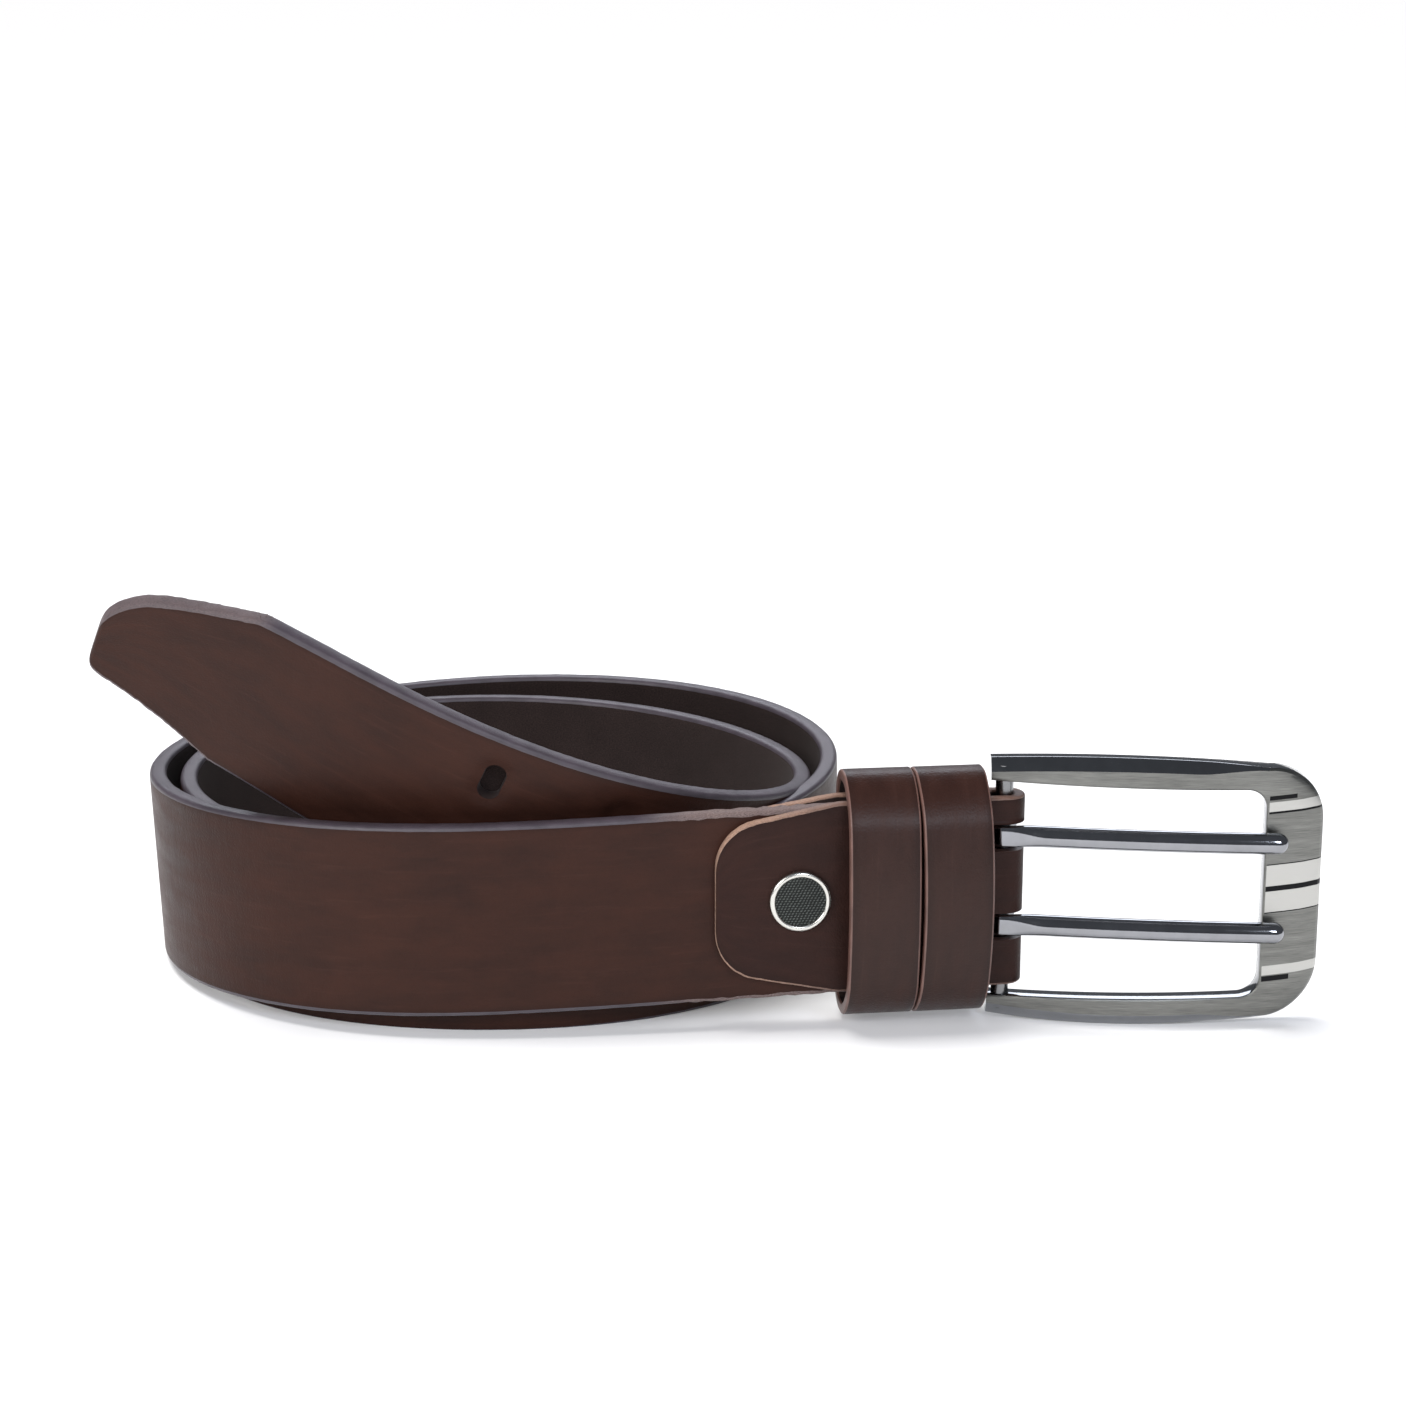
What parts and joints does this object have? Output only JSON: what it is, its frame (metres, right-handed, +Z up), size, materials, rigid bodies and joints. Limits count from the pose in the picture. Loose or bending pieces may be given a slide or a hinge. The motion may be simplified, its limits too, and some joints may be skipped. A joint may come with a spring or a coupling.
{
  "type": "belt",
  "caption": "Rolled leather belt with a double-prong buckle, folded chape, sliding loops and a screw rivet.",
  "frame": {"origin": "bottom centre of the whole belt's bounding box, on the surface it rests on", "axes": "+X along the belt's straight end towards the buckle, -Y out of the belt's outer face, +Z up"},
  "size_m": [0.237, 0.1459, 0.085],
  "materials": {
    "strap_leather": "smooth full-grain brown leather, satin",
    "chape_leather": "smooth brown leather with pale cut edges",
    "keeper_leather": "smooth brown leather, satin",
    "staple_steel": "wire",
    "gunmetal": "brushed gunmetal plate with polished bevels",
    "dark_bar": "dark gunmetal",
    "prong_metal": "polished dark gunmetal",
    "rivet_silver": "polished nickel",
    "rivet_disc": "dark textured disc",
    "rivet_back": "nickel plated"
  },
  "bodies": {
    "root": {"strap": "strap_leather", "chape": "chape_leather", "rivet_post": "rivet_silver", "rivet_inlay": "rivet_disc", "rivet_washer": "rivet_back", "rivet_screw": "rivet_back"},
    "buckle": {"buckle_frame": "gunmetal", "hinge_bar": "dark_bar"},
    "prong_upper": {"prong_upper": "prong_metal"},
    "prong_lower": {"prong_lower": "prong_metal"},
    "keeper_right": {"keeper_right": "keeper_leather", "keeper_right_staples": "staple_steel"},
    "keeper_left": {"keeper_left": "keeper_leather", "keeper_left_staples": "staple_steel"}
  },
  "joints": [
    {"name": "buckle_swing", "type": "hinge", "parent": "root", "child": "buckle", "pos_m": [0.05728, -0.05696, 0.027], "axis": [0, 0, -1], "range_deg": [-70, 12]},
    {"name": "prong_upper_swing", "type": "hinge", "parent": "buckle", "child": "prong_upper", "pos_m": [0.05728, -0.05696, 0.027], "axis": [0, 0, -1], "range_deg": [0, 60]},
    {"name": "prong_lower_swing", "type": "hinge", "parent": "buckle", "child": "prong_lower", "pos_m": [0.05728, -0.05696, 0.027], "axis": [0, 0, -1], "range_deg": [0, 60]},
    {"name": "keeper_right_slide", "type": "slide", "parent": "root", "child": "keeper_right", "axis": [1, 0, 0], "range_m": [-0.01, 0]},
    {"name": "keeper_left_slide", "type": "slide", "parent": "keeper_right", "child": "keeper_left", "axis": [1, 0, 0], "range_m": [-0.018, 0]}
  ]
}
